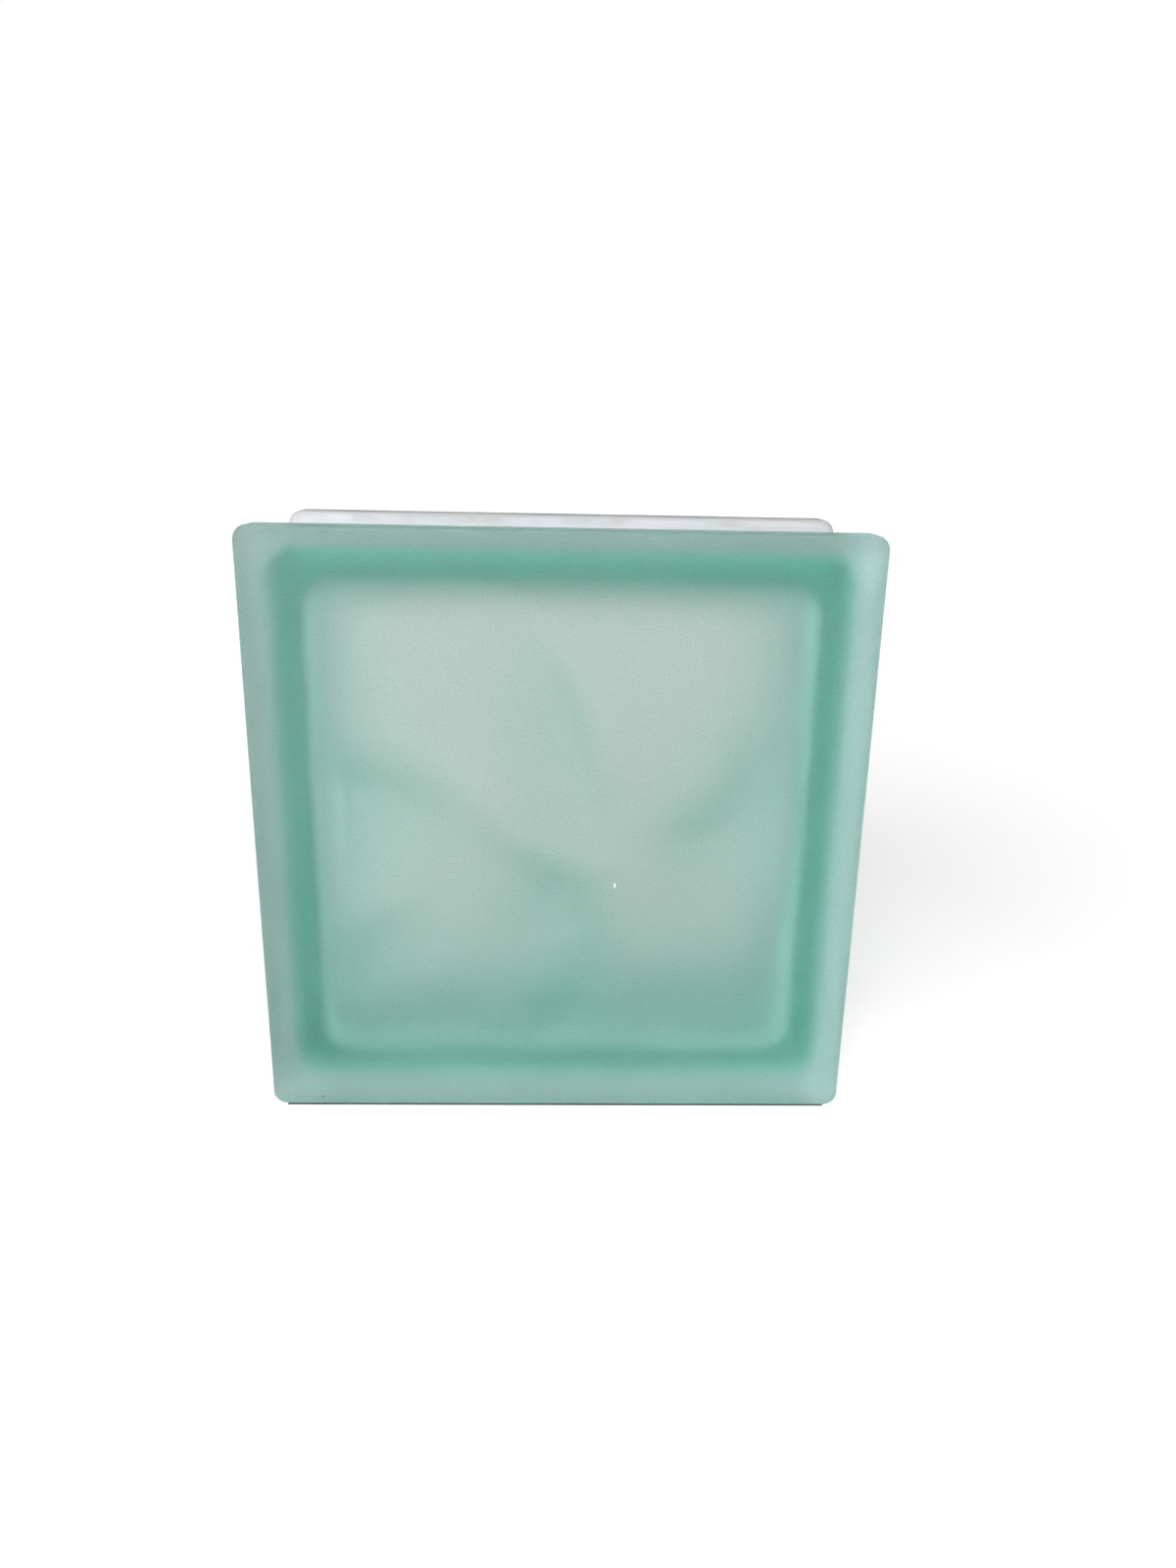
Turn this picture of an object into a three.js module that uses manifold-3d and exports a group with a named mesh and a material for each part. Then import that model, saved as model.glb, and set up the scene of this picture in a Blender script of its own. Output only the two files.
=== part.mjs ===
// Hollow glass building block: two pressed half-shells fused along a seam, with a white coat on the sides.
// Millimetres, +Z up, front face towards -Y, origin at the centre of the footprint.
import * as THREE from 'three';
import { mergeVertices } from 'three/addons/utils/BufferGeometryUtils.js';
import Module from 'manifold-3d';

// Outside of the block.
const WIDTH = 190;
const HEIGHT = 190;
const DEPTH = 80;
const CORNER_RADIUS = 4.5; // corners of the face, seen from the front
const FACE_EDGE_RADIUS = 1.5; // rounding from the face onto the rim of the lip

// Channel that runs round the four sides, between the lips.
const LIP_THICKNESS = 10;
const LIP_BACK_RADIUS = 1.2;
const FLANK_RUN = 3; // depth that the slope behind a lip takes
const CHANNEL_DEPTH = 7.3;
const CHANNEL_ROOT_RADIUS = 3;
const CHANNEL_CORNER_RADIUS = 8;

// Bead of glass squeezed out where the halves are fused.
const SEAM_BEAD_WIDTH = 8;
const SEAM_BEAD_HEIGHT = 1;

// Hollow.
const PLATE_THICKNESS = 7.2; // away from the waves
const WALL_AT_SEAM = 6.4; // under the channel, without the bead
const DRAFT_DEGREES = 3.5;
const HOLLOW_FILLET = 10;

// Waves pressed into the inside of each plate. A curve runs along each ridge through points [x, y, height], with
// x and y in shares of the hollow's half width and half height; left and right are the widths of its flanks.
const RIDGES = [
  {
    left: 9,
    right: 24,
    points: [
      [-1.06, 0.17, 4.4], [-0.85, 0.15, 4.8], [-0.66, 0.10, 4.6], [-0.52, 0.03, 3.4],
      [-0.40, -0.06, 2.2], [-0.28, -0.12, 1.0],
    ],
  },
  {
    left: 9,
    right: 16,
    points: [
      [-0.50, 0.03, 1.4], [-0.36, -0.08, 2.8], [-0.24, -0.18, 3.2], [-0.14, -0.24, 4.0],
      [-0.04, -0.31, 5.0], [0.01, -0.39, 4.6], [0.04, -0.48, 3.6],
    ],
  },
  {
    left: 8.5,
    right: 14,
    points: [
      [0.36, -0.12, 0.1], [0.44, -0.09, 1.8], [0.52, -0.06, 4.2], [0.62, -0.02, 4.8], [0.71, 0.05, 4.6],
      [0.76, 0.16, 4.0], [0.78, 0.30, 2.6], [0.78, 0.46, 0.6],
    ],
  },
  {
    left: 8,
    right: 9,
    points: [
      [0.04, -0.44, 3.2], [0.07, -0.56, 4.0], [0.07, -0.68, 4.8], [0.04, -0.79, 6.0],
      [0.03, -0.92, 3.6], [0.04, -1.04, 0.6],
    ],
  },
  {
    left: 5,
    right: 16,
    points: [
      [-0.34, 1.00, 0.1], [-0.25, 0.86, 1.4], [-0.14, 0.72, 2.8], [-0.06, 0.58, 3.8],
      [-0.01, 0.45, 4.4], [0.03, 0.32, 4.2], [0.07, 0.18, 3.2], [0.12, 0.02, 1.8], [0.16, -0.12, 0.5],
    ],
  },
  {
    left: 9,
    right: 10,
    points: [
      [-1.05, -0.64, 2.0], [-0.82, -0.56, 3.0], [-0.64, -0.42, 2.6], [-0.47, -0.24, 1.4],
      [-0.34, -0.10, 0.5],
    ],
  },
  {
    left: 7.5,
    right: 14,
    points: [
      [-0.82, -0.76, 0.1], [-0.55, -0.77, 0.5], [-0.24, -0.78, 0.4], [-0.08, -0.79, 1.4],
      [0.04, -0.79, 4.8], [0.16, -0.79, 1.6], [0.30, -0.77, 0.5], [0.58, -0.73, 0.7], [0.84, -0.70, 0.1],
    ],
  },
];
const RIDGE_SHARPNESS = 4; // of the valleys where ridges meet

// White coat in the channel.
const COAT_THICKNESS = 0.3;

// Fineness of the curved surfaces.
const CORNER_DIVISIONS = 3;
const SECTION_DIVISIONS = 3;
const FILLET_STEPS = 3; // in each half of the quarter round
const WAVE_CELLS = 28;
const RIDGE_SAMPLES = 24;
const SMALLEST_RADIUS = 0.5;
const SAME_POINT = 1e-6;

const HALF_WIDTH = WIDTH / 2;
const HALF_HEIGHT = HEIGHT / 2;
const HALF_DEPTH = DEPTH / 2;
const LIP_BACK = HALF_DEPTH - LIP_THICKNESS;
const PLATE_INSIDE = HALF_DEPTH - PLATE_THICKNESS;
const PLUG_OVERRUN = 2; // how far the plug that hollows a half passes its seam plane

const wasm = await Module();
wasm.setup();

// A half-shell lies in its own frame, with its seam on z = 0 and its face towards +z.

function toSolid(geometry) {
  geometry.deleteAttribute('normal');
  geometry.deleteAttribute('uv');
  const merged = mergeVertices(geometry);
  const vertProperties = new Float32Array(merged.attributes.position.array);
  const triVerts = new Uint32Array(merged.index.array);
  return new wasm.Manifold(new wasm.Mesh({ numProp: 3, vertProperties, triVerts }));
}

function toGeometry(solid) {
  const mesh = solid.getMesh();
  const geometry = new THREE.BufferGeometry();
  geometry.setAttribute('position', new THREE.BufferAttribute(mesh.vertProperties, 3));
  geometry.setIndex(new THREE.BufferAttribute(mesh.triVerts, 1));
  return geometry;
}

// Rounds the corners of a section, each given as [inset from the outside, height above the seam, radius].
function roundedSection(corners) {
  const points = corners.map(([inset, height]) => new THREE.Vector2(inset, height));
  const path = new THREE.Path();
  path.moveTo(points[0].x, points[0].y);
  for (let i = 1; i < points.length - 1; i += 1) {
    const back = points[i - 1].clone().sub(points[i]).normalize();
    const ahead = points[i + 1].clone().sub(points[i]).normalize();
    const reach = corners[i][2] / Math.tan(back.angleTo(ahead) / 2);
    const enter = points[i].clone().addScaledVector(back, reach);
    const leave = points[i].clone().addScaledVector(ahead, reach);
    path.lineTo(enter.x, enter.y);
    path.quadraticCurveTo(points[i].x, points[i].y, leave.x, leave.y);
  }
  const last = points[points.length - 1];
  path.lineTo(last.x, last.y);
  const rounded = path.getPoints(SECTION_DIVISIONS);
  return rounded.filter((point, i) => i === 0 || point.distanceTo(rounded[i - 1]) > SAME_POINT);
}

// The lip keeps its own corners, and the channel behind it turns more gently.
function cornerRadius(inset, height) {
  if (height > HALF_DEPTH - LIP_THICKNESS / 2) {
    return Math.max(CORNER_RADIUS - inset, SMALLEST_RADIUS);
  }
  return THREE.MathUtils.lerp(CORNER_RADIUS, CHANNEL_CORNER_RADIUS, inset / CHANNEL_DEPTH);
}

// From the edge of the flat face, over the lip and along the channel, to the crown of the seam bead.
function sideStations() {
  const beadCrown = CHANNEL_DEPTH - SEAM_BEAD_HEIGHT;
  const section = roundedSection([
    [FACE_EDGE_RADIUS, HALF_DEPTH, 0],
    [0, HALF_DEPTH, FACE_EDGE_RADIUS],
    [0, LIP_BACK, LIP_BACK_RADIUS],
    [CHANNEL_DEPTH, LIP_BACK - FLANK_RUN, CHANNEL_ROOT_RADIUS],
    [CHANNEL_DEPTH, SEAM_BEAD_WIDTH / 2, SEAM_BEAD_HEIGHT],
    [beadCrown, SEAM_BEAD_WIDTH / 4, SEAM_BEAD_HEIGHT],
    [beadCrown, 0, 0],
  ]);
  return section.map(({ x, y }) => ({ inset: x, height: y, radius: cornerRadius(x, y) }));
}

// The closed outline of the block at one station of the section.
function ring({ inset, height, radius }) {
  const x = HALF_WIDTH - inset - radius;
  const y = HALF_HEIGHT - inset - radius;
  const quarter = Math.PI / 2;
  const outline = new THREE.Path();
  outline.absarc(x, y, radius, 0, quarter);
  outline.absarc(-x, y, radius, quarter, 2 * quarter);
  outline.absarc(-x, -y, radius, 2 * quarter, 3 * quarter);
  outline.absarc(x, -y, radius, 3 * quarter, 4 * quarter);
  return outline.getPoints(CORNER_DIVISIONS).map((point) => new THREE.Vector3(point.x, point.y, height));
}

// Skins a stack of rings, which runs downwards on the outside. It is capped, or it joins its own start.
function loft(rings, joinsItself) {
  const count = rings[0].length;
  const indices = [];
  const strips = joinsItself ? rings.length : rings.length - 1;
  for (let i = 0; i < strips; i += 1) {
    const upper = i * count;
    const lower = ((i + 1) % rings.length) * count;
    for (let j = 0; j < count; j += 1) {
      const k = (j + 1) % count;
      indices.push(lower + j, lower + k, upper + j);
      indices.push(lower + k, upper + k, upper + j);
    }
  }
  if (!joinsItself) {
    const last = (rings.length - 1) * count;
    for (let j = 1; j < count - 1; j += 1) {
      indices.push(0, j, j + 1);
      indices.push(last, last + j + 1, last + j);
    }
  }
  const geometry = new THREE.BufferGeometry().setFromPoints(rings.flat());
  geometry.setIndex(indices);
  return geometry;
}

// Returns the height over (x, y) of one ridge.
function swell({ left, right, points }, halfWidth, halfHeight) {
  const places = points.map(([x, y, height]) => new THREE.Vector3(x * halfWidth, y * halfHeight, height));
  const samples = new THREE.CatmullRomCurve3(places, false, 'catmullrom').getPoints(RIDGE_SAMPLES);
  return (x, y) => {
    let nearest = Infinity;
    let height = 0;
    let width = left;
    for (let i = 1; i < samples.length; i += 1) {
      const run = samples[i].clone().sub(samples[i - 1]);
      const offset = new THREE.Vector2(x - samples[i - 1].x, y - samples[i - 1].y);
      const share = (offset.x * run.x + offset.y * run.y) / (run.x ** 2 + run.y ** 2);
      const along = THREE.MathUtils.clamp(share, 0, 1);
      const distance = Math.hypot(offset.x - along * run.x, offset.y - along * run.y);
      if (distance < nearest) {
        nearest = distance;
        height = samples[i - 1].z + along * run.z;
        width = run.x * offset.y - run.y * offset.x > 0 ? left : right;
      }
    }
    return height * Math.exp(-((nearest / width) ** 2) / 2);
  };
}

// Returns how much the waves thicken the plate over (x, y).
function waveRelief(halfWidth, halfHeight) {
  const ridges = RIDGES.map((ridge) => swell(ridge, halfWidth, halfHeight));
  return (x, y) => {
    const blended = ridges.reduce((sum, ridge) => sum + ridge(x, y) ** RIDGE_SHARPNESS, 0);
    return blended ** (1 / RIDGE_SHARPNESS);
  };
}

// Grid lines across the hollow: even over the flat, and at even angles round the fillet at each end.
function filletedStations(half, cells) {
  const lines = [];
  for (let i = 0; i < FILLET_STEPS; i += 1) {
    const angle = (Math.PI / 4) * (1 - i / FILLET_STEPS);
    lines.push(half - HOLLOW_FILLET * (1 - Math.tan(angle)));
  }
  const flat = half - HOLLOW_FILLET;
  const middle = [];
  for (let i = 0; i <= cells; i += 1) {
    middle.push(THREE.MathUtils.lerp(-flat, flat, i / cells));
  }
  return [...lines.map((line) => -line), ...middle, ...lines.reverse()];
}

// The plug that presses the hollow: a drafted block with rounded edges and the waves on its end.
function hollowPlug() {
  const taper = Math.tan(THREE.MathUtils.degToRad(DRAFT_DEGREES));
  const halfWidth = HALF_WIDTH - CHANNEL_DEPTH - WALL_AT_SEAM - taper * PLATE_INSIDE;
  const halfHeight = HALF_HEIGHT - CHANNEL_DEPTH - WALL_AT_SEAM - taper * PLATE_INSIDE;
  const relief = waveRelief(halfWidth, halfHeight);
  const columns = filletedStations(halfWidth, WAVE_CELLS);
  const rows = filletedStations(halfHeight, WAVE_CELLS);
  const layers = [-PLUG_OVERRUN, PLATE_INSIDE - HOLLOW_FILLET];
  for (let i = 1; i <= FILLET_STEPS; i += 1) {
    const angle = (Math.PI / 4) * (i / FILLET_STEPS);
    layers.push(PLATE_INSIDE - HOLLOW_FILLET * (1 - Math.tan(angle)));
  }
  const box = new THREE.BoxGeometry(1, 1, 1, columns.length - 1, rows.length - 1, layers.length - 1);
  const pick = (lines, place) => lines[Math.round((place + 0.5) * (lines.length - 1))];
  const position = box.attributes.position;
  for (let i = 0; i < position.count; i += 1) {
    const point = new THREE.Vector3(
      pick(columns, position.getX(i)),
      pick(rows, position.getY(i)),
      pick(layers, position.getZ(i)),
    );
    const core = point.clone();
    core.x = THREE.MathUtils.clamp(point.x, HOLLOW_FILLET - halfWidth, halfWidth - HOLLOW_FILLET);
    core.y = THREE.MathUtils.clamp(point.y, HOLLOW_FILLET - halfHeight, halfHeight - HOLLOW_FILLET);
    core.z = Math.min(point.z, PLATE_INSIDE - HOLLOW_FILLET);
    const out = point.clone().sub(core);
    const reach = Math.max(Math.abs(out.x), Math.abs(out.y), out.z);
    const onShell = reach > HOLLOW_FILLET - SAME_POINT;
    const onEnd = point.z > PLATE_INSIDE - SAME_POINT;
    const beside = Math.max(Math.abs(out.x), Math.abs(out.y)) / HOLLOW_FILLET;
    const sunk = onEnd ? relief(point.x, point.y) * (1 - beside) : 0;
    if (onShell) {
      out.setLength(HOLLOW_FILLET);
    }
    point.addVectors(core, out);
    const widening = taper * (PLATE_INSIDE - point.z);
    point.x *= 1 + widening / halfWidth;
    point.y *= 1 + widening / halfHeight;
    point.z -= sunk;
    position.setXYZ(i, point.x, point.y, point.z);
  }
  return box;
}

function pressedHalf(stations) {
  const tray = toSolid(loft(stations.map(ring), false));
  return toGeometry(tray.subtract(toSolid(hollowPlug())));
}

// The coat follows the channel from lip to lip, laid on the glass.
function sideCoat(stations) {
  const front = stations.filter(({ height }) => height <= LIP_BACK);
  const rear = front.slice(0, -1).reverse();
  const laid = [...front, ...rear.map((station) => ({ ...station, height: -station.height }))];
  const outside = laid.map((station, i) => {
    const before = laid[Math.max(i - 1, 0)];
    const after = laid[Math.min(i + 1, laid.length - 1)];
    const along = new THREE.Vector2(after.inset - before.inset, after.height - before.height).normalize();
    const rise = -along.y * COAT_THICKNESS;
    return {
      inset: station.inset - rise,
      height: station.height - along.x * COAT_THICKNESS,
      radius: station.radius + rise,
    };
  });
  return loft([...outside, ...laid.reverse()].map(ring), true);
}

const glass = new THREE.MeshStandardMaterial({ color: 0xa9cdc2, roughness: 0.55, metalness: 0 });
const coating = new THREE.MeshStandardMaterial({ color: 0xdfe2e3, roughness: 0.8, metalness: 0 });

function stood(geometry, material, name) {
  const mesh = new THREE.Mesh(geometry, material);
  mesh.name = name;
  mesh.rotation.x = Math.PI / 2;
  mesh.position.z = HALF_HEIGHT;
  return mesh;
}

const stations = sideStations();
const pressing = pressedHalf(stations);
const turnedRound = new THREE.Group();
turnedRound.rotation.z = Math.PI;
turnedRound.add(stood(pressing, glass, 'rear_half'));

const block = new THREE.Group();
block.add(stood(pressing, glass, 'front_half'));
block.add(turnedRound);
block.add(stood(sideCoat(stations), coating, 'edge_coating'));

export default block;
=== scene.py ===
"""A hollow glass building block in satin sea-green glass, standing on a pale floor."""

import math

import bpy
import numpy as np
from mathutils import Euler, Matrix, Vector


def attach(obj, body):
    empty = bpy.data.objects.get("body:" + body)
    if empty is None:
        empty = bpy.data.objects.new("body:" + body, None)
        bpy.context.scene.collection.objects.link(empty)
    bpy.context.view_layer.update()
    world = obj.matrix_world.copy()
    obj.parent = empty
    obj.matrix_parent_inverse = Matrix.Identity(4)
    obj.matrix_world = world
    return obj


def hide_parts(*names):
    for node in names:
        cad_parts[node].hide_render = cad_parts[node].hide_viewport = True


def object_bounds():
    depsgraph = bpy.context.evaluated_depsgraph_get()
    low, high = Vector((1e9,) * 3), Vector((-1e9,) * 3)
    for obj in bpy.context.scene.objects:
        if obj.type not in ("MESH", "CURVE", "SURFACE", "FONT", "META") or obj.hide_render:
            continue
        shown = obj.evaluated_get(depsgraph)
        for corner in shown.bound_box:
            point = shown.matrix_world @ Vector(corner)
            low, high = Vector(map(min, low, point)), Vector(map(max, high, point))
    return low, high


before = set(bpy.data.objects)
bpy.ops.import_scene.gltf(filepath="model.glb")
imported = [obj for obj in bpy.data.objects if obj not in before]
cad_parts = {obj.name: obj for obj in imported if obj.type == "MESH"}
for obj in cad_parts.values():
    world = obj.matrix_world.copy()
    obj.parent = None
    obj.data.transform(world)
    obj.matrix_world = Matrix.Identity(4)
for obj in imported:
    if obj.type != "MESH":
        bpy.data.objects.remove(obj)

cad_low, cad_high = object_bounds()

MM = 0.001

# The block's outside comes from the frame. Its section repeats the part's values, in millimetres.
HALF_WIDTH = (cad_high.x - cad_low.x) / 2 / MM
HALF_HEIGHT = (cad_high.z - cad_low.z) / 2 / MM
HALF_DEPTH = (cad_high.y - cad_low.y) / 2 / MM
MIDDLE_Z = (cad_high.z + cad_low.z) / 2 / MM
CORNER_RADIUS = 4.5
FACE_EDGE_RADIUS = 1.5
LIP_THICKNESS = 10.0
LIP_BACK_RADIUS = 1.2
FLANK_RUN = 3.0
CHANNEL_DEPTH = 7.3
CHANNEL_ROOT_RADIUS = 3.0
CHANNEL_CORNER_RADIUS = 8.0
SEAM_BEAD_WIDTH = 8.0
SEAM_BEAD_HEIGHT = 1.0
PLATE_THICKNESS = 7.2
WALL_AT_SEAM = 6.4
DRAFT = math.radians(3.5)
HOLLOW_FILLET = 10.0
COAT_THICKNESS = 0.3
COAT_BITE = 0.06  # how far the coat's inner side reaches into the glass, so that they touch
COAT_INSIDE = 0.01  # how far the coat stays inside the block's outline
TOP = MIDDLE_Z + HALF_HEIGHT
LIP_BACK = HALF_DEPTH - LIP_THICKNESS
PLATE_INSIDE = HALF_DEPTH - PLATE_THICKNESS

# The coat's brushed edge, along the back of each lip.
BARE_EDGE = (0.0, 1.1)  # the least and the most that the brush left bare, in millimetres
BARE_SHARE = 0.45  # of that, on average
WANDER_SHARE = 0.6  # of that, by waves along the edge
WANDER_WAVES = 14
WANDER_TURNS = (5, 60)  # how often a wave repeats round the block
NICK_SHARE = 0.25  # of the waves, by nicks
BRUSH_SEED = 11

# Waves inside each plate: ridges along which the glass is thicker. Each has the width of its flank
# on the left and on the right of its curve, and the curve's points (x, z, height), with x and z in
# shares of the hollow's half width and half height.
WAVES = (
    # from the left edge down to the middle
    (9.0, 24.0, (
        (-1.06, 0.17, 4.4), (-0.85, 0.15, 4.8), (-0.66, 0.10, 4.6), (-0.52, 0.03, 3.4),
        (-0.40, -0.06, 2.2), (-0.28, -0.12, 1.0),
    )),
    # down through the middle
    (9.0, 16.0, (
        (-0.50, 0.03, 1.4), (-0.36, -0.08, 2.8), (-0.24, -0.18, 3.2), (-0.14, -0.24, 4.0),
        (-0.04, -0.31, 5.0), (0.01, -0.39, 4.6), (0.04, -0.48, 3.6),
    )),
    # up the right side
    (8.5, 14.0, (
        (0.36, -0.12, 0.1), (0.44, -0.09, 1.8), (0.52, -0.06, 4.2), (0.62, -0.02, 4.8),
        (0.71, 0.05, 4.6), (0.76, 0.16, 4.0), (0.78, 0.30, 2.6), (0.78, 0.46, 0.6),
    )),
    # down the middle to the bottom
    (8.0, 9.0, (
        (0.04, -0.44, 3.2), (0.07, -0.56, 4.0), (0.07, -0.68, 4.8), (0.04, -0.79, 6.0),
        (0.03, -0.92, 3.6), (0.04, -1.04, 0.6),
    )),
    # from the top down to the middle
    (5.0, 16.0, (
        (-0.34, 1.00, 0.1), (-0.25, 0.86, 1.4), (-0.14, 0.72, 2.8), (-0.06, 0.58, 3.8),
        (-0.01, 0.45, 4.4), (0.03, 0.32, 4.2), (0.07, 0.18, 3.2), (0.12, 0.02, 1.8),
        (0.16, -0.12, 0.5),
    )),
    # up from the lower left
    (9.0, 10.0, (
        (-1.05, -0.64, 2.0), (-0.82, -0.56, 3.0), (-0.64, -0.42, 2.6), (-0.47, -0.24, 1.4),
        (-0.34, -0.10, 0.5),
    )),
    # along the bottom
    (7.5, 14.0, (
        (-0.82, -0.76, 0.1), (-0.55, -0.77, 0.5), (-0.24, -0.78, 0.4), (-0.08, -0.79, 1.4),
        (0.04, -0.79, 4.8), (0.16, -0.79, 1.6), (0.30, -0.77, 0.5), (0.58, -0.73, 0.7),
        (0.84, -0.70, 0.1),
    )),
)
RIDGE_SHARPNESS = 4.0  # of the valleys where ridges meet

# Fineness of the meshes.
ARC_STEPS = 16  # round each corner of the outline
SIDE_STEPS = 80  # along each side of it
SECTION_STEPS = 10  # round each corner of the section
FACE_SUPPORT = 0.3  # from a face's edge to the next ring, which keeps the face's shading flat
WAVE_CELLS = 100  # across the flat of a plate
DEPTH_CELLS = 2  # across the flat of the hollow's side
FILLET_STEPS = 8  # round half of each of the hollow's fillets
RIDGE_SAMPLES = 24  # along each ridge
TINY = 1e-6  # millimetres that count as none

# Looks. An attribute says which skin of a piece a vertex is on: on the glass 0 is the outside and
# 1 the hollow, and on the coat 0 is the outside and 1 the side that lies against the glass.
SKIN = "surface"
WHITE = (1, 1, 1, 1)

# The glass. A ramp goes from one value to another, and gives its third number at the first value
# and its fourth at the second. A noise has so many periods per metre along x, y and z, and a level
# of detail. A mark has a place and how far it reaches along x, y and z, both in millimetres, and
# it fades over the last part of that reach.
MARK_FADE = (0.4, 1.0, 1.0, 0.0)
GLASS_IOR = 1.52
GLASS_ABSORPTION = (25.0, 4.8, 8.6)  # what a metre of the glass takes from red, green and blue
ABSORPTION_DENSITY = 30.0
SATIN_GRAIN = ((1300, 1300, 1300), 2.0)
CLOUDS = ((38, 38, 38), 3.0)
GRAIN_SHADE = (0.3, 0.7, 0.0, 1.0)
GRAIN_COLOUR = (0.74, 0.79, 0.79, 1)
GRAIN_BUMP = 0.3
GRAIN_HEIGHT = 0.00002
GRAIN_HAZE = (0.3, 0.7, 0.0, 0.02)
CLOUD_HAZE = (0.35, 0.7, 0.0, 0.01)
CLOUD_ROUGHNESS = (0.3, 0.7, 0.54, 0.64)
CHIP = ((34.26, -40, 29.85), (0.5, 0.5, 0.5))
SCRATCH = ((17.4, -40, 80.2), (0.35, 0.5, 1.1))
SPECK = ((-78.4, -40, 3.0), (0.5, 0.5, 0.5))
SPECK_COLOUR = (0.15, 0.18, 0.17, 1)
GREYING_BY_HEIGHT = (TOP - 0.6, TOP - 0.2)  # by height, in millimetres
GREYING_BY_DEPTH = (LIP_BACK - 0.6, LIP_BACK)  # by depth, in millimetres
GREYING_COVER = (0.3, 0.5, 0.6, 0.9)
GREYING_COLOUR = (0.34, 0.36, 0.35, 1)

# Inside the hollow, in millimetres: a painted warm tint on the waves, which stands in for warm
# light seen through the glass by taking from green and blue, is clear of the bottom and weaker
# towards the sides, and the fillet round the front plate is rougher than the waves. The fillet
# starts so far from the middle, whichever is more, sideways or up and down.
PAINTED_WARM_LIGHT_COLOUR = (1.0, 0.85, 0.845, 1)
PAINTED_WARM_LIGHT_BY_HEIGHT = (26, 50, 0.0, 1.0)
PAINTED_WARM_LIGHT_FROM_MIDDLE = (56, 74, 1.0, 0.35)
FILLET_FROM_MIDDLE = (67, 72, 0.0, 1.0)
FILLET_BY_DEPTH = (-29, -26, 1.0, 0.0)
INSIDE_ROUGHNESS = (0.42, 0.62)

# The coat's colour at the bottom and at the top, where a painted shade darkens it, and on it brush
# marks, stains, grime and a painted shade towards its edges by the distance from the middle of the
# depth in millimetres, a smear, a speck and flecks.
COAT_WHITE = (0.93, 0.95, 0.95, 1)
COAT_PAINTED_SHADE_TOP = (0.60, 0.65, 0.66, 1)
COAT_TRANSMISSION = 0.1
BRUSHING = ((14, 1000, 14), 5.0)
BRUSH_COVER = (0.42, 0.62, 0.0, 0.75)
BRUSH_COLOUR = (0.76, 0.77, 0.84, 1)
BRUSH_ROUGHNESS = (0.3, 0.7, 0.7, 0.9)
BRUSH_BUMP = 0.5
BRUSH_HEIGHT = 0.00008
PATCHES = ((70, 160, 70), 4.0)
STAIN_COVER = (0.60, 0.78, 0.0, 0.2)
STAIN_COLOUR = (0.70, 0.70, 0.67, 1)
GRIME_BY_DEPTH = (27.8, 29.2, 0.0, 1.0)
GRIME_COVER = (0.46, 0.6, 0.0, 0.5)
PAINTED_SHADE_AT_EDGE = (29.0, 29.6, 0.0, 0.8)
GRIME_AND_SHADE_COLOUR = (0.46, 0.46, 0.44, 1)
SMEAR = ((58, 28.4, 188.4), (9, 1.2, 1.6))
SMEAR_COVER = 0.45
SMEAR_COLOUR = (0.42, 0.43, 0.42, 1)
COAT_SPECK = ((26, 28.4, 188.6), (0.45, 0.6, 0.6))
FLECKS = ((900, 900, 900), 2.0)
FLECK_COVER = (0.80, 0.84, 0.0, 0.6)
FLECK_COLOUR = (0.16, 0.15, 0.14, 1)

# The coat's side that lies against the glass: in the channel, and on the flank behind each lip,
# where it is darkened and tinted as painted shade on the rims. It is paler behind the right lip, as
# painted light on the right rim. The ramps are in millimetres.
BEHIND_CHANNEL = (0.93, 0.93, 0.93, 1)
BEHIND_LIP_PAINTED_SHADE = (0.59, 0.52, 0.54, 1)
BEHIND_RIGHT_LIP_PAINTED_LIGHT = (0.74, 0.62, 0.67, 1)
FLANK_BY_DEPTH = (24.5, 27.5, 0.0, 1.0)
RIGHT_SIDE = (80, 88, 0.0, 1.0)

# The camera, solved on the photo's corners of the block: millimetres and degrees.
CAMERA_PLACE = (-1.36, -358.67, 213.01)
CAMERA_TURN = (72.721, -1.095, -1.396)
SENSOR_WIDTH = 36
FOCAL_LENGTH = 24.928

# The floor pales into the white surroundings with the distance from the block's foot, in metres:
# how brightly it shows to the camera, and in and through glass. The world is as bright as its end.
SEEN_DIRECTLY = (0.25, 1.2, 0.5, 1.0)
SEEN_IN_GLASS = (0.3, 2.5, 0.52, 0.8)
FLOOR_REACH = 8.0
FLOOR_GAP = 0.0002  # below the block's foot
FLOOR_COLOUR = (0.88, 0.88, 0.87, 1)
PAINTED_SHADOW_UNDER_LIPS = (0.12, 0.12, 0.12, 1)
FLOOR_ROUGHNESS = 0.9
FOOT_MARGIN = 0.1  # millimetres by which the painted shadow under the block stays inside its faces

# Each lamp's name, place and size in metres, and power in watts. They point at the block's middle.
LAMPS = (
    ("front_left", (-0.9, -1.4, 0.7), 1.5, 27),
    ("front_top", (0, -1.2, 1.3), 1.0, 14.2),
    ("right", (1.7, 0, 0.3), 2.2, 11),
)


# Meshes -------------------------------------------------------------------------------------------

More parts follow.
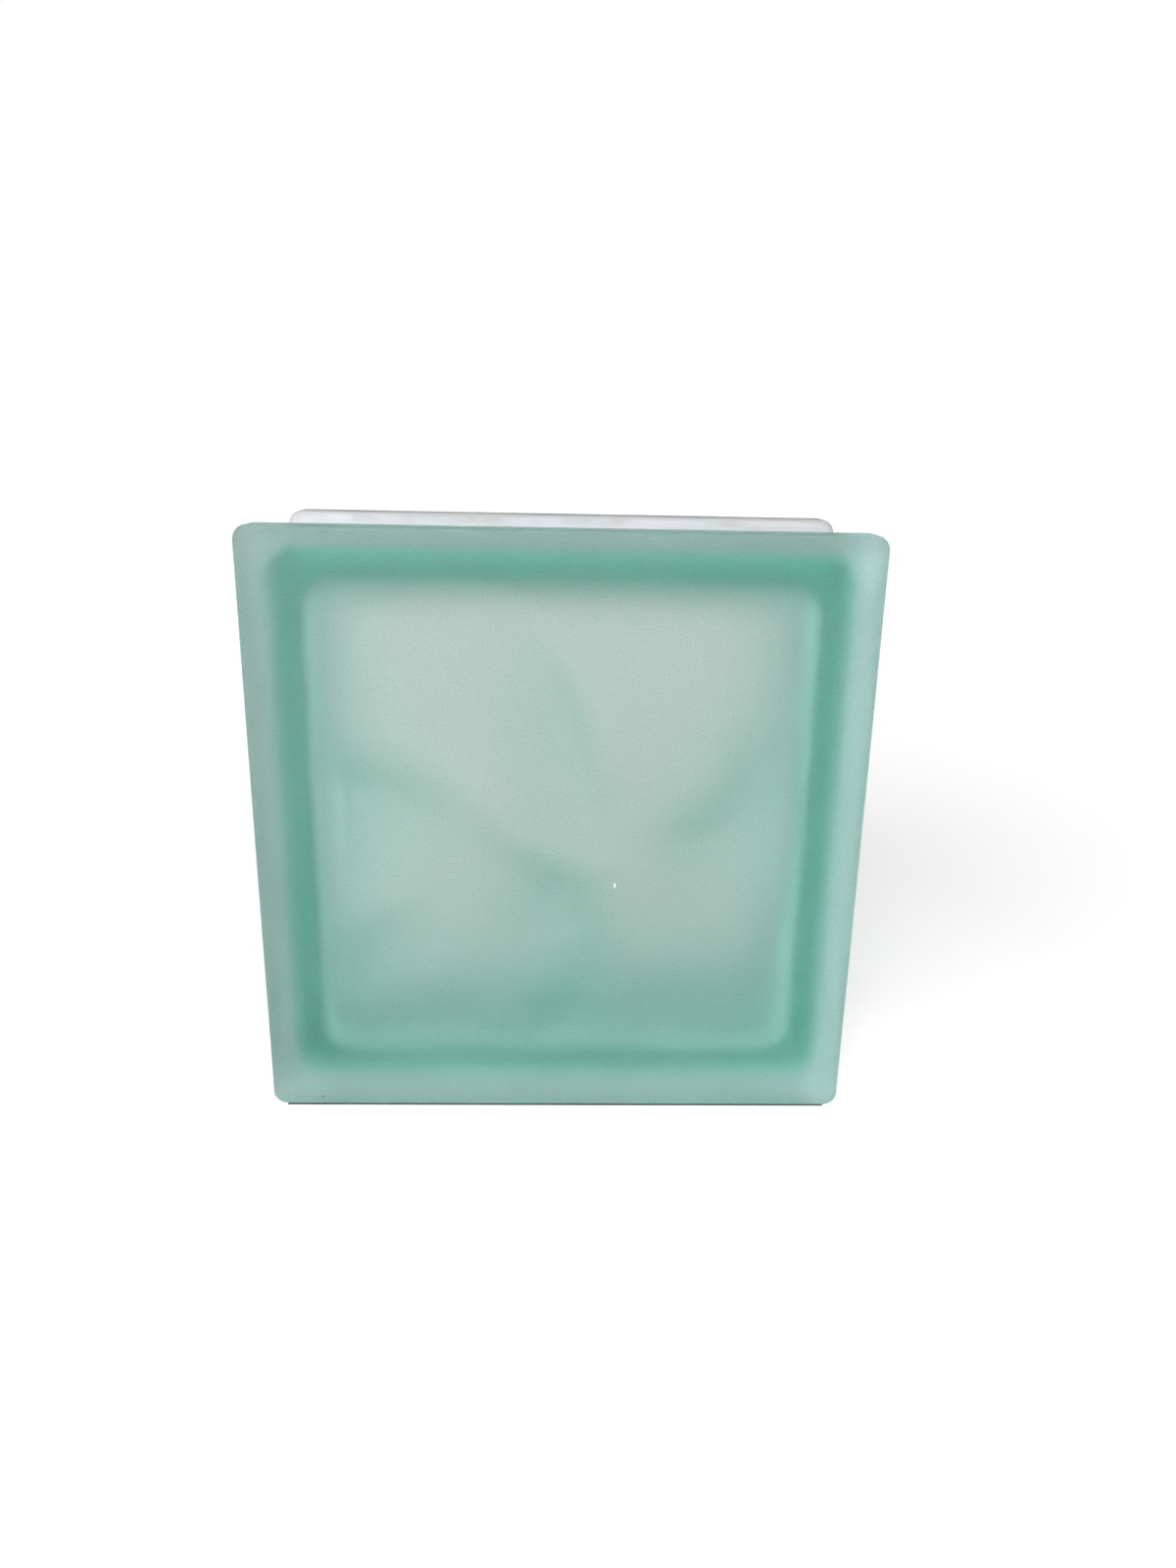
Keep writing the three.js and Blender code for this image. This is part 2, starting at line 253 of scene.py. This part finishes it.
def rounded_section(corners):
    """Rounds the corners of a section, each (inset from outside, height above the seam, radius)."""
    points = [np.array(corner[:2], dtype=float) for corner in corners]
    path = [points[0]]
    for i in range(1, len(points) - 1):
        corner = points[i]
        back = (points[i - 1] - corner) / np.linalg.norm(points[i - 1] - corner)
        ahead = (points[i + 1] - corner) / np.linalg.norm(points[i + 1] - corner)
        opening = math.acos(np.clip(back @ ahead, -1, 1))
        reach = corners[i][2] / math.tan(opening / 2)
        enter, leave = corner + back * reach, corner + ahead * reach
        for t in np.linspace(0, 1, SECTION_STEPS + 1):
            path.append(enter * (1 - t) ** 2 + corner * 2 * t * (1 - t) + leave * t**2)
    path.append(points[-1])
    kept = [path[0]]
    for point in path[1:]:
        if np.linalg.norm(point - kept[-1]) > TINY:
            kept.append(point)
    return kept


def corner_radius(inset, height):
    """The lip keeps its own corners, and the channel behind it turns more gently."""
    if height > HALF_DEPTH - LIP_THICKNESS / 2:
        return CORNER_RADIUS - inset
    return CORNER_RADIUS + (CHANNEL_CORNER_RADIUS - CORNER_RADIUS) * inset / CHANNEL_DEPTH


def side_stations():
    """(inset, height, corner radius) from the flat face over the lip and channel to the seam."""
    crown = CHANNEL_DEPTH - SEAM_BEAD_HEIGHT
    section = rounded_section((
        (FACE_EDGE_RADIUS + FACE_SUPPORT, HALF_DEPTH, 0),
        (0, HALF_DEPTH, FACE_EDGE_RADIUS),
        (0, LIP_BACK, LIP_BACK_RADIUS),
        (CHANNEL_DEPTH, LIP_BACK - FLANK_RUN, CHANNEL_ROOT_RADIUS),
        (CHANNEL_DEPTH, SEAM_BEAD_WIDTH / 2, SEAM_BEAD_HEIGHT),
        (crown, SEAM_BEAD_WIDTH / 4, SEAM_BEAD_HEIGHT),
        (crown, 0, 0),
    ))
    return [(inset, height, corner_radius(inset, height)) for inset, height in section]


def mirrored(stations):
    """The stations from the front face to the rear face."""
    return stations + [(inset, -height, radius) for inset, height, radius in stations[-2::-1]]


def ring(inset, height, radius):
    """The outline of the block at one station, as (x, y, z) in millimetres."""
    x, z = HALF_WIDTH - inset - radius, HALF_HEIGHT - inset - radius
    centres = ((x, z), (-x, z), (-x, -z), (x, -z))
    outline = []
    for quarter, (cx, cz) in enumerate(centres):
        angles = (quarter + np.linspace(0, 1, ARC_STEPS + 1)) * math.pi / 2
        arc = np.stack([cx + radius * np.cos(angles), cz + radius * np.sin(angles)], axis=1)
        nx, nz = centres[(quarter + 1) % 4]
        start = np.array([nx, nz]) + radius * np.array([math.cos(angles[-1]), math.sin(angles[-1])])
        side = arc[-1] + (start - arc[-1]) * np.linspace(0, 1, SIDE_STEPS + 1)[1:-1, None]
        outline += [arc, side]
    flat = np.concatenate(outline)
    return np.stack([flat[:, 0], np.full(len(flat), -height), MIDDLE_Z + flat[:, 1]], axis=1)


def skin(rings, joins_itself):
    """Vertices and faces of a stack of rings that runs from front to rear on the outside."""
    count = len(rings[0])
    faces = []
    strips = len(rings) if joins_itself else len(rings) - 1
    for i in range(strips):
        near, far = i * count, (i + 1) % len(rings) * count
        for j in range(count):
            k = (j + 1) % count
            faces.append((near + j, far + j, far + k, near + k))
    if not joins_itself:
        faces.append(tuple(range(count)))
        faces.append(tuple(reversed(range((len(rings) - 1) * count, len(rings) * count))))
    return np.concatenate(rings), faces


def spline(points):
    """Samples of a Catmull-Rom curve through the points."""
    points = np.array(points, dtype=float)
    last = len(points) - 1
    samples = []
    for t in np.linspace(0, last, RIDGE_SAMPLES + 1):
        i = min(int(t), last - 1)
        p1, p2 = points[i], points[i + 1]
        p0 = points[i - 1] if i > 0 else 2 * p1 - p2
        p3 = points[i + 2] if i + 2 <= last else 2 * p2 - p1
        w = t - i
        v0, v1 = (p2 - p0) / 2, (p3 - p1) / 2
        cube = 2 * p1 - 2 * p2 + v0 + v1
        square = 3 * p2 - 3 * p1 - 2 * v0 - v1
        samples.append(cube * w**3 + square * w**2 + v0 * w + p1)
    return np.array(samples)


def swell(where, wave, scale):
    """The height of one ridge at each place."""
    left_width, right_width, curve = wave
    samples = spline(curve) * (*scale, 1)
    nearest, height = np.full(where.shape[:-1], np.inf), np.zeros(where.shape[:-1])
    width = np.full(where.shape[:-1], left_width)
    for a, b in zip(samples[:-1], samples[1:]):
        run, offset = b[:2] - a[:2], where - a[:2]
        along = np.clip((offset @ run) / (run @ run), 0, 1)
        distance = np.linalg.norm(offset - along[..., None] * run, axis=-1)
        left = run[0] * offset[..., 1] - run[1] * offset[..., 0] > 0
        closer = distance < nearest
        nearest = np.where(closer, distance, nearest)
        height = np.where(closer, a[2] + along * (b[2] - a[2]), height)
        width = np.where(closer, np.where(left, left_width, right_width), width)
    return height * np.exp(-((nearest / width) ** 2) / 2)


def wave_relief(x, y, half_width, half_height):
    """How much the waves thicken the plate over (x, y)."""
    where = np.stack([x, y], axis=-1)
    ridges = sum(swell(where, wave, (half_width, half_height)) ** RIDGE_SHARPNESS for wave in WAVES)
    return ridges ** (1 / RIDGE_SHARPNESS)


def filleted_lines(low, high, cells):
    """Grid lines from low to high: even over the flat, and at even angles round each fillet."""
    angles = np.linspace(math.pi / 4, 0, FILLET_STEPS + 1)[:-1]
    ends = HOLLOW_FILLET * (1 - np.tan(angles))
    flat = np.linspace(low + HOLLOW_FILLET, high - HOLLOW_FILLET, cells + 1)
    return np.concatenate([low + ends, flat, (high - ends)[::-1]])


def box_grid(columns, rows, layers):
    """Vertices and quads of the surface of a box with those grid lines, its faces pointing out."""
    nx, ny, nz = len(columns), len(rows), len(layers)
    index, vertices, faces = {}, [], []

    def vertex(i, j, k):
        if (i, j, k) not in index:
            index[i, j, k] = len(vertices)
            vertices.append((columns[i], rows[j], layers[k]))
        return index[i, j, k]

    def side(na, nb, place, turned):
        for a in range(na - 1):
            for b in range(nb - 1):
                corners = (a, b), (a + 1, b), (a + 1, b + 1), (a, b + 1)
                quad = [vertex(*place(*corner)) for corner in corners]
                faces.append(tuple(quad[::-1]) if turned else tuple(quad))

    side(nx, ny, lambda a, b: (a, b, nz - 1), False)
    side(nx, ny, lambda a, b: (a, b, 0), True)
    side(ny, nz, lambda a, b: (nx - 1, a, b), False)
    side(ny, nz, lambda a, b: (0, a, b), True)
    side(nx, nz, lambda a, b: (a, 0, b), False)
    side(nx, nz, lambda a, b: (a, ny - 1, b), True)
    return np.array(vertices), faces


def hollow():
    """The inner surface of the fused block, facing out of the hollow into the glass."""
    taper = math.tan(DRAFT)
    half_width = HALF_WIDTH - CHANNEL_DEPTH - WALL_AT_SEAM - taper * PLATE_INSIDE
    half_height = HALF_HEIGHT - CHANNEL_DEPTH - WALL_AT_SEAM - taper * PLATE_INSIDE
    half = np.array([half_width, half_height, PLATE_INSIDE])
    points, faces = box_grid(
        filleted_lines(-half_width, half_width, WAVE_CELLS),
        filleted_lines(-half_height, half_height, WAVE_CELLS),
        filleted_lines(-PLATE_INSIDE, PLATE_INSIDE, DEPTH_CELLS),
    )
    core = np.clip(points, HOLLOW_FILLET - half, half - HOLLOW_FILLET)
    out = points - core
    beside = np.abs(out[:, :2]).max(axis=1) / HOLLOW_FILLET
    at_end = np.abs(out[:, 2]) > HOLLOW_FILLET - TINY
    front = points[:, 2] > 0
    seen_x = np.where(front, points[:, 0], -points[:, 0])
    relief = wave_relief(seen_x, points[:, 1], half_width, half_height)
    sunk = np.where(at_end, relief * (1 - beside), 0)
    shaped = core + out * (HOLLOW_FILLET / np.linalg.norm(out, axis=1))[:, None]
    widening = taper * (PLATE_INSIDE - np.abs(shaped[:, 2]))
    shaped[:, 0] *= 1 + widening / half_width
    shaped[:, 1] *= 1 + widening / half_height
    shaped[:, 2] -= np.where(front, sunk, -sunk)
    return np.stack([shaped[:, 0], -shaped[:, 2], MIDDLE_Z + shaped[:, 1]], axis=1), faces


def brushed_edge(count, rng):
    """How far from the lip the coat starts at each of the outline's points."""
    turn = np.arange(count) / count * 2 * math.pi
    turns = rng.integers(*WANDER_TURNS, WANDER_WAVES)
    wander = sum(np.sin(turn * n + rng.uniform(0, 2 * math.pi)) / n**0.5 for n in turns)
    nicks = rng.normal(size=count)
    rough = wander / np.abs(wander).max() + NICK_SHARE * nicks / np.abs(nicks).max()
    low, high = BARE_EDGE
    return np.clip(low + (high - low) * (BARE_SHARE + WANDER_SHARE * rough), low, high)


def brushed(rings, front_edge, rear_edge):
    """The rings moved along the channel, so that the coat's two edges wander."""
    stack = np.stack(rings)
    middle = stack[:, len(rings[0]) // 8]  # half way along one side
    run = np.concatenate([[0], np.cumsum(np.linalg.norm(np.diff(middle, axis=0), axis=1))])
    length = run[-1]
    for j in range(stack.shape[1]):
        shifted = front_edge[j] + run / length * (length - front_edge[j] - rear_edge[j])
        stack[:, j] = np.stack([np.interp(shifted, run, stack[:, j, k]) for k in range(3)], axis=1)
    return list(stack)


def add(name, data):
    """A new object in the scene."""
    made = bpy.data.objects.new(name, data)
    bpy.context.scene.collection.objects.link(made)
    return made


def make_mesh(name, skins):
    """One smooth-shaded object from several (vertices in mm, faces), each of them one skin."""
    vertices, faces, numbers = [], [], []
    for number, (points, polygons) in enumerate(skins):
        start = sum(len(v) for v in vertices)
        vertices.append(points)
        numbers += [float(number)] * len(points)
        faces += [tuple(start + i for i in polygon) for polygon in polygons]
    mesh = bpy.data.meshes.new(name)
    mesh.from_pydata((np.concatenate(vertices) * MM).tolist(), [], faces)
    mesh.polygons.foreach_set("use_smooth", [True] * len(faces))
    mesh.attributes.new(SKIN, "FLOAT", "POINT").data.foreach_set("value", numbers)
    mesh.validate()
    mesh.update()
    return add(name, mesh)


def make_glass_body(stations):
    """The fused block: a closed outside, and the hollow's closed surface turned to face into it."""
    outside = skin([ring(*station) for station in mirrored(stations)], False)
    points, faces = hollow()
    inside = points, [face[::-1] for face in faces]
    return make_mesh("glass_body", [outside, inside])


def laid_off(stations, distance):
    """The stations moved off the glass by a distance, and kept inside the block's outline."""
    moved = []
    for i, (inset, height, radius) in enumerate(stations):
        before, after = stations[max(i - 1, 0)], stations[min(i + 1, len(stations) - 1)]
        along = np.array([after[0] - before[0], after[1] - before[1]])
        along /= np.linalg.norm(along)
        rise = min(-along[1] * distance, inset - COAT_INSIDE)
        moved.append((inset - rise, height - along[0] * distance, radius + rise))
    return moved


def make_side_coat(stations):
    """The coat as a closed sleeve in the channel, with the same wandering edges on both skins."""
    laid = mirrored([station for station in stations if station[1] <= LIP_BACK + LIP_BACK_RADIUS])
    outer = laid_off(laid, COAT_THICKNESS)
    inner = laid_off(laid, -COAT_BITE)
    rng = np.random.default_rng(BRUSH_SEED)
    count = len(ring(*outer[0]))
    edges = brushed_edge(count, rng), brushed_edge(count, rng)
    front = brushed([ring(*station) for station in outer], *edges)
    back = brushed([ring(*station) for station in inner], *edges)
    coat = make_mesh("side_coat", [skin(front + back[::-1], True)])
    against_glass = [0.0] * (len(front) * count) + [1.0] * (len(back) * count)
    coat.data.attributes[SKIN].data.foreach_set("value", against_glass)
    return coat


# Materials ----------------------------------------------------------------------------------------

class Graph:
    """A node tree, emptied, with short calls for the few kinds of node that the scene uses."""

    def __init__(self, tree):
        self.nodes, self.links = tree.nodes, tree.links
        self.nodes.clear()

    def node(self, kind, values=(), settings=(), **inputs):
        """Adds a node: values by socket number, settings of its own, and links by socket name."""
        made = self.nodes.new(kind)
        for name, value in settings:
            setattr(made, name, value)
        for number, value in values:
            if isinstance(value, bpy.types.NodeSocket):
                self.links.new(value, made.inputs[number])
            else:
                made.inputs[number].default_value = value
        for name, source in inputs.items():
            self.links.new(source, made.inputs[name])
        return made

    def place(self):
        """Where a point is, in metres, and its x, y and z."""
        place = self.nodes.new("ShaderNodeTexCoord").outputs["Object"]
        return place, *self.node("ShaderNodeSeparateXYZ", ((0, place),)).outputs

    def skin(self):
        """Which skin of a piece a point is on."""
        attribute = self.nodes.new("ShaderNodeAttribute")
        attribute.attribute_name = SKIN
        return attribute.outputs["Fac"]

    def ramp(self, source, low, high, at_low, at_high):
        values = (0, source), (1, low), (2, high), (3, at_low), (4, at_high)
        return self.node("ShaderNodeMapRange", values).outputs["Result"]

    def ramp_mm(self, source, low, high, at_low=0.0, at_high=1.0):
        """A ramp over millimetres."""
        return self.ramp(source, low * MM, high * MM, at_low, at_high)

    def calculate(self, operation, first, second=0.0):
        settings = (("operation", operation),)
        return self.node("ShaderNodeMath", ((0, first), (1, second)), settings).outputs["Value"]

    def vector(self, operation, first, second=(0, 0, 0)):
        settings = (("operation", operation),)
        return self.node("ShaderNodeVectorMath", ((0, first), (1, second)), settings).outputs

    def blend(self, factor, first, second):
        values, settings = ((0, factor), (6, first), (7, second)), (("data_type", "RGBA"),)
        return self.node("ShaderNodeMix", values, settings).outputs[2]

    def noise(self, place, periods, detail):
        scaled = self.vector("MULTIPLY", place, periods)["Vector"]
        values = (2, 1.0), (3, detail)
        return self.node("ShaderNodeTexNoise", values, Vector=scaled).outputs["Fac"]

    def mark(self, place, centre, reach):
        """1 at the centre, falling to 0 at the reach."""
        offset = self.vector("SUBTRACT", place, [v * MM for v in centre])["Vector"]
        share = self.vector("DIVIDE", offset, [v * MM for v in reach])["Vector"]
        return self.ramp(self.vector("LENGTH", share)["Value"], *MARK_FADE)


def new_material(name):
    """A material with a Principled shader, as (material, its graph, the shader)."""
    material = bpy.data.materials.new(name)
    material.use_nodes = True
    graph = Graph(material.node_tree)
    shader = graph.nodes.new("ShaderNodeBsdfPrincipled")
    graph.node("ShaderNodeOutputMaterial", Surface=shader.outputs["BSDF"])
    return material, graph, shader


def glass_material():
    """Glass coloured through: satin with a fine grain and marks outside, and smoother inside with a
    painted warm tint.
    """
    material, graph, shader = new_material("satin_green_glass")
    ramp, ramp_mm, calculate, blend = graph.ramp, graph.ramp_mm, graph.calculate, graph.blend
    place, x, y, z = graph.place()
    inside = graph.skin()
    outside = calculate("SUBTRACT", 1.0, inside)
    fine, cloudy = graph.noise(place, *SATIN_GRAIN), graph.noise(place, *CLOUDS)
    across = calculate("ABSOLUTE", x)
    from_middle = calculate("ABSOLUTE", calculate("SUBTRACT", z, MIDDLE_Z * MM))
    from_middle = calculate("MAXIMUM", across, from_middle)

    # Grey patches along the top of the rear lip.
    greying = calculate("MULTIPLY", ramp_mm(z, *GREYING_BY_HEIGHT), ramp_mm(y, *GREYING_BY_DEPTH))
    greying = calculate("MULTIPLY", greying, ramp(cloudy, *GREYING_COVER))
    haze = calculate("ADD", ramp(fine, *GRAIN_HAZE), ramp(cloudy, *CLOUD_HAZE))
    marks = calculate("MAXIMUM", graph.mark(place, *CHIP), graph.mark(place, *SCRATCH))
    haze = calculate("ADD", calculate("ADD", haze, marks), greying)
    haze = calculate("MULTIPLY", outside, calculate("MINIMUM", haze, 1.0))
    graph.links.new(calculate("SUBTRACT", 1.0, haze), shader.inputs["Transmission Weight"])

    # Painted warm light: a tint on the hollow's surface, clear of the bottom and weaker towards the
    # sides.
    painted_warm_light = calculate("MULTIPLY", inside, ramp_mm(z, *PAINTED_WARM_LIGHT_BY_HEIGHT))
    painted_warm_light = calculate("MULTIPLY", painted_warm_light, ramp_mm(across, *PAINTED_WARM_LIGHT_FROM_MIDDLE))
    satin = blend(ramp(fine, *GRAIN_SHADE), WHITE, GRAIN_COLOUR)
    colour = blend(outside, blend(painted_warm_light, WHITE, PAINTED_WARM_LIGHT_COLOUR), satin)
    colour = blend(greying, colour, GREYING_COLOUR)
    colour = blend(graph.mark(place, *SPECK), colour, SPECK_COLOUR)
    graph.links.new(colour, shader.inputs["Base Color"])

    fillet = ramp_mm(from_middle, *FILLET_FROM_MIDDLE)
    fillet = calculate("MULTIPLY", fillet, ramp_mm(y, *FILLET_BY_DEPTH))
    rough_inside = calculate("MULTIPLY", inside, ramp(fillet, 0.0, 1.0, *INSIDE_ROUGHNESS))
    rough_outside = calculate("MULTIPLY", outside, ramp(cloudy, *CLOUD_ROUGHNESS))
    graph.links.new(calculate("ADD", rough_outside, rough_inside), shader.inputs["Roughness"])
    bump = graph.node("ShaderNodeBump", Height=fine)
    graph.links.new(calculate("MULTIPLY", outside, GRAIN_BUMP), bump.inputs["Strength"])
    bump.inputs["Distance"].default_value = GRAIN_HEIGHT
    graph.links.new(bump.outputs["Normal"], shader.inputs["Normal"])

    shader.inputs["IOR"].default_value = GLASS_IOR
    absorb = graph.nodes.new("ShaderNodeVolumeAbsorption")
    passed = (1 - loss / ABSORPTION_DENSITY for loss in GLASS_ABSORPTION)
    absorb.inputs["Color"].default_value = (*passed, 1)
    absorb.inputs["Density"].default_value = ABSORPTION_DENSITY
    output = material.node_tree.get_output_node("ALL")
    graph.links.new(absorb.outputs["Volume"], output.inputs["Volume"])
    return material


def coat_material():
    """Thin white coat: brush marks along the channel, stains, grime, and painted shade towards the
    top, at its edges and behind the lips, with painted light behind the right lip.
    """
    material, graph, shader = new_material("white_coat")
    ramp, ramp_mm, calculate, blend = graph.ramp, graph.ramp_mm, graph.calculate, graph.blend
    place, x, y, z = graph.place()
    brushing = graph.noise(place, *BRUSHING)
    patches = graph.noise(place, *PATCHES)
    from_middle = calculate("ABSOLUTE", y)

    # Painted shade: the coat darkens from its white at the bottom to a grey at the top.
    colour = blend(ramp_mm(z, 0, TOP), COAT_WHITE, COAT_PAINTED_SHADE_TOP)
    colour = blend(ramp(brushing, *BRUSH_COVER), colour, BRUSH_COLOUR)
    colour = blend(ramp(patches, *STAIN_COVER), colour, STAIN_COLOUR)
    # Grime in patches near the edges, and a painted shade in the corner behind each lip, where the
    # coat meets the lip's back.
    grime_and_shade = ramp_mm(from_middle, *GRIME_BY_DEPTH)
    grime_and_shade = calculate("MULTIPLY", grime_and_shade, ramp(patches, *GRIME_COVER))
    grime_and_shade = calculate("MAXIMUM", grime_and_shade, ramp_mm(from_middle, *PAINTED_SHADE_AT_EDGE))
    colour = blend(grime_and_shade, colour, GRIME_AND_SHADE_COLOUR)
    smear = calculate("MULTIPLY", graph.mark(place, *SMEAR), SMEAR_COVER)
    colour = blend(smear, colour, SMEAR_COLOUR)
    flecks = ramp(graph.noise(place, *FLECKS), *FLECK_COVER)
    flecks = calculate("MAXIMUM", graph.mark(place, *COAT_SPECK), flecks)
    colour = blend(flecks, colour, FLECK_COLOUR)

    # Painted shade and light on the rims: the coat's side against the glass is darker behind each
    # lip, and paler behind the right lip.
    behind_lips_painted_light_and_shade = blend(ramp_mm(x, *RIGHT_SIDE), BEHIND_LIP_PAINTED_SHADE, BEHIND_RIGHT_LIP_PAINTED_LIGHT)
    against_glass = blend(ramp_mm(from_middle, *FLANK_BY_DEPTH), BEHIND_CHANNEL, behind_lips_painted_light_and_shade)
    graph.links.new(blend(graph.skin(), colour, against_glass), shader.inputs["Base Color"])

    graph.links.new(ramp(brushing, *BRUSH_ROUGHNESS), shader.inputs["Roughness"])
    bump = graph.node("ShaderNodeBump", Height=brushing)
    bump.inputs["Strength"].default_value = BRUSH_BUMP
    bump.inputs["Distance"].default_value = BRUSH_HEIGHT
    graph.links.new(bump.outputs["Normal"], shader.inputs["Normal"])
    shader.inputs["Transmission Weight"].default_value = COAT_TRANSMISSION
    return material


# Stage --------------------------------------------------------------------------------------------

def make_camera():
    data = bpy.data.cameras.new("camera")
    data.sensor_width = SENSOR_WIDTH
    data.lens = FOCAL_LENGTH
    camera = add("camera", data)
    camera.location = Vector(CAMERA_PLACE) * MM
    camera.rotation_euler = Euler([math.radians(angle) for angle in CAMERA_TURN])
    bpy.context.scene.camera = camera


def showing(graph, directly, in_glass):
    """How strongly the surroundings show to the camera, and where glass reflects or passes them."""
    path = graph.nodes.new("ShaderNodeLightPath").outputs
    by_glass = graph.calculate("MAXIMUM", path["Is Glossy Ray"], path["Is Transmission Ray"])
    seen = graph.calculate("MULTIPLY", path["Is Camera Ray"], directly)
    return graph.calculate("MAXIMUM", seen, graph.calculate("MULTIPLY", by_glass, in_glass))


def make_floor():
    """A pale floor that keeps the shadow, with a painted contact shadow where the block's two lips
    stand on it.
    """
    mesh = bpy.data.meshes.new("floor")
    signs = (-1, -1), (1, -1), (1, 1), (-1, 1)
    mesh.from_pydata([(a * FLOOR_REACH, b * FLOOR_REACH, 0) for a, b in signs], [], [(0, 1, 2, 3)])
    floor = add("floor", mesh)
    floor.location.z = -FLOOR_GAP

    material, graph, shader = new_material("pale_floor")
    ramp, calculate = graph.ramp, graph.calculate
    place, x, y, _ = graph.place()
    across, along = calculate("ABSOLUTE", x), calculate("ABSOLUTE", y)
    inside_x = calculate("LESS_THAN", across, (HALF_WIDTH - CORNER_RADIUS) * MM)
    inside_y = calculate("LESS_THAN", along, (HALF_DEPTH - FOOT_MARGIN) * MM)
    under = calculate("MULTIPLY", inside_x, inside_y)
    # Painted contact shadow: the floor is dark where the lips stand on it.
    painted_shadow_under_lips = calculate("MULTIPLY", under, calculate("GREATER_THAN", along, LIP_BACK * MM))
    colour = graph.blend(painted_shadow_under_lips, FLOOR_COLOUR, PAINTED_SHADOW_UNDER_LIPS)
    graph.links.new(colour, shader.inputs["Base Color"])

    distance = graph.vector("LENGTH", place)["Value"]
    open_floor = calculate("SUBTRACT", 1.0, under)
    directly = calculate("MULTIPLY", open_floor, ramp(distance, *SEEN_DIRECTLY))
    glow = showing(graph, directly, ramp(distance, *SEEN_IN_GLASS))
    graph.links.new(glow, shader.inputs["Emission Strength"])
    shader.inputs["Emission Color"].default_value = WHITE
    shader.inputs["Roughness"].default_value = FLOOR_ROUGHNESS
    mesh.materials.append(material)


def make_world():
    """White surroundings for the camera and for glass, which light nothing else."""
    world = bpy.data.worlds.new("studio")
    bpy.context.scene.world = world
    world.use_nodes = True
    graph = Graph(world.node_tree)
    glow = showing(graph, SEEN_DIRECTLY[-1], SEEN_IN_GLASS[-1])
    white = graph.node("ShaderNodeBackground", ((0, WHITE), (1, glow)))
    graph.node("ShaderNodeOutputWorld", Surface=white.outputs["Background"])


def make_lamp(name, place, size, power):
    data = bpy.data.lights.new(name, "AREA")
    data.shape = "DISK"
    data.size = size
    data.energy = power
    lamp = add(name, data)
    lamp.location = place
    aim = Vector((0, 0, MIDDLE_Z * MM)) - lamp.location
    lamp.rotation_euler = aim.to_track_quat("-Z", "Y").to_euler()


# Scene --------------------------------------------------------------------------------------------

make_camera()
make_floor()
make_world()
for lamp in LAMPS:
    make_lamp(*lamp)

stations = side_stations()
body = make_glass_body(stations)
body.data.materials.append(glass_material())
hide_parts("front_half", "rear_half")
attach(body, "root")

coat = make_side_coat(stations)
coat.data.materials.append(coat_material())
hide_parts("edge_coating")
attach(coat, "root")

scene = bpy.context.scene
scene.view_settings.view_transform = "Standard"
scene.cycles.max_bounces = 24
scene.cycles.transmission_bounces = 24
scene.cycles.diffuse_bounces = 8
scene.cycles.glossy_bounces = 12
